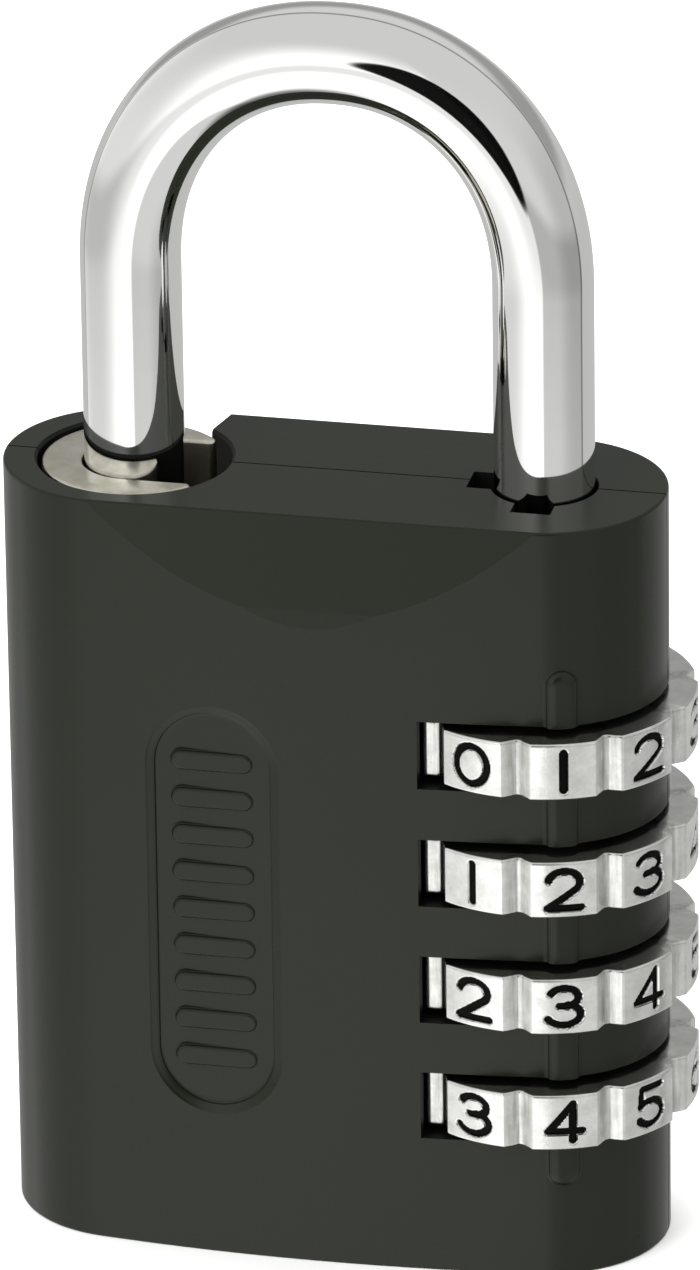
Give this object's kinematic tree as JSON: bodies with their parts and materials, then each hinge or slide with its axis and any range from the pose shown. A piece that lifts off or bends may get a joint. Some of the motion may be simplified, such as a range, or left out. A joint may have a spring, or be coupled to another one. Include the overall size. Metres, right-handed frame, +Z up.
{
  "type": "combination padlock",
  "caption": "Combination padlock with side dials on the heel leg of its shackle and a key release cam under the toe; the shackle lifts when the code is set.",
  "frame": {"origin": "middle of the overall width and depth, on the plane of the base", "axes": "+Z up through the shackle, -Y out of the front face, +X towards the dials"},
  "size_m": [0.0451, 0.0196, 0.0843],
  "materials": {
    "black_lacquer": "smooth satin black lacquer on die-cast zinc",
    "shackle_chrome": "polished chrome on hardened steel",
    "dial_nickel": "satin nickel with black-filled engraved digits",
    "cam_nickel": "tumbled nickel-plated steel",
    "plain_steel": "turned steel",
    "brass": "machined brass",
    "spring_steel": "drawn spring wire"
  },
  "bodies": {
    "body": {"front_shell": "black_lacquer", "rear_shell": "black_lacquer", "shell_pin_1": "plain_steel", "shell_pin_2": "plain_steel", "shell_pin_3": "plain_steel", "shell_pin_4": "plain_steel", "shackle_stop_pin": "plain_steel", "cylinder_housing": "brass", "driver_pin_1": "plain_steel", "driver_pin_2": "plain_steel", "driver_pin_3": "plain_steel", "driver_pin_4": "plain_steel", "pin_spring_1": "spring_steel", "pin_spring_2": "spring_steel", "pin_spring_3": "spring_steel", "pin_spring_4": "spring_steel", "click_ball_1": "plain_steel", "click_ball_2": "plain_steel", "click_ball_3": "plain_steel", "click_ball_4": "plain_steel", "click_spring_1": "spring_steel", "click_spring_2": "spring_steel", "click_spring_3": "spring_steel", "click_spring_4": "spring_steel", "shackle_spring": "spring_steel", "reset_spring": "spring_steel"},
    "shackle": {"shackle": "shackle_chrome", "spring_cap": "plain_steel"},
    "dial_1": {"dial_1": "dial_nickel"},
    "dial_2": {"dial_2": "dial_nickel"},
    "dial_3": {"dial_3": "dial_nickel"},
    "dial_4": {"dial_4": "dial_nickel"},
    "sleeve_1": {"clutch_sleeve_1": "brass"},
    "sleeve_2": {"clutch_sleeve_2": "brass"},
    "sleeve_3": {"clutch_sleeve_3": "brass"},
    "sleeve_4": {"clutch_sleeve_4": "brass"},
    "reset_washer": {"reset_washer": "plain_steel"},
    "key_release": {"toe_cam": "cam_nickel", "cam_driver": "plain_steel", "cylinder_plug": "brass", "plug_clip": "plain_steel", "key_pin_1": "brass", "key_pin_2": "brass", "key_pin_3": "brass", "key_pin_4": "brass"}
  },
  "joints": [
    {"name": "shackle_lift", "type": "slide", "parent": "body", "child": "shackle", "axis": [0, 0, 1], "range_m": [0, 0.0076], "deforming": ["shackle_spring"]},
    {"name": "dial_1_turn", "type": "hinge", "parent": "body", "child": "dial_1", "pos_m": [0.01277, 0, 0.03665], "axis": [0, 0, 1], "continuous": true},
    {"name": "dial_2_turn", "type": "hinge", "parent": "body", "child": "dial_2", "pos_m": [0.01277, 0, 0.02838], "axis": [0, 0, 1], "continuous": true},
    {"name": "dial_3_turn", "type": "hinge", "parent": "body", "child": "dial_3", "pos_m": [0.01277, 0, 0.02011], "axis": [0, 0, 1], "continuous": true},
    {"name": "dial_4_turn", "type": "hinge", "parent": "body", "child": "dial_4", "pos_m": [0.01277, 0, 0.01184], "axis": [0, 0, 1], "continuous": true},
    {"name": "sleeve_1_change", "type": "slide", "parent": "dial_1", "child": "sleeve_1", "axis": [0, 0, -1], "range_m": [0, 0.0012]},
    {"name": "sleeve_2_change", "type": "slide", "parent": "dial_2", "child": "sleeve_2", "axis": [0, 0, -1], "range_m": [0, 0.0012]},
    {"name": "sleeve_3_change", "type": "slide", "parent": "dial_3", "child": "sleeve_3", "axis": [0, 0, -1], "range_m": [0, 0.0012]},
    {"name": "sleeve_4_change", "type": "slide", "parent": "dial_4", "child": "sleeve_4", "axis": [0, 0, -1], "range_m": [0, 0.0012]},
    {"name": "washer_change", "type": "slide", "parent": "body", "child": "reset_washer", "axis": [0, 0, -1], "range_m": [0, 0.0012], "deforming": ["reset_spring"]},
    {"name": "key_turn", "type": "hinge", "parent": "body", "child": "key_release", "pos_m": [-0.01408, 0, 0], "axis": [0, 0, 1], "range_deg": [0, 90]}
  ],
  "couplings": [
    {"joint": "sleeve_2_change", "follows": "sleeve_1_change", "ratio": 1},
    {"joint": "sleeve_3_change", "follows": "sleeve_1_change", "ratio": 1},
    {"joint": "sleeve_4_change", "follows": "sleeve_1_change", "ratio": 1},
    {"joint": "washer_change", "follows": "sleeve_1_change", "ratio": 1}
  ]
}
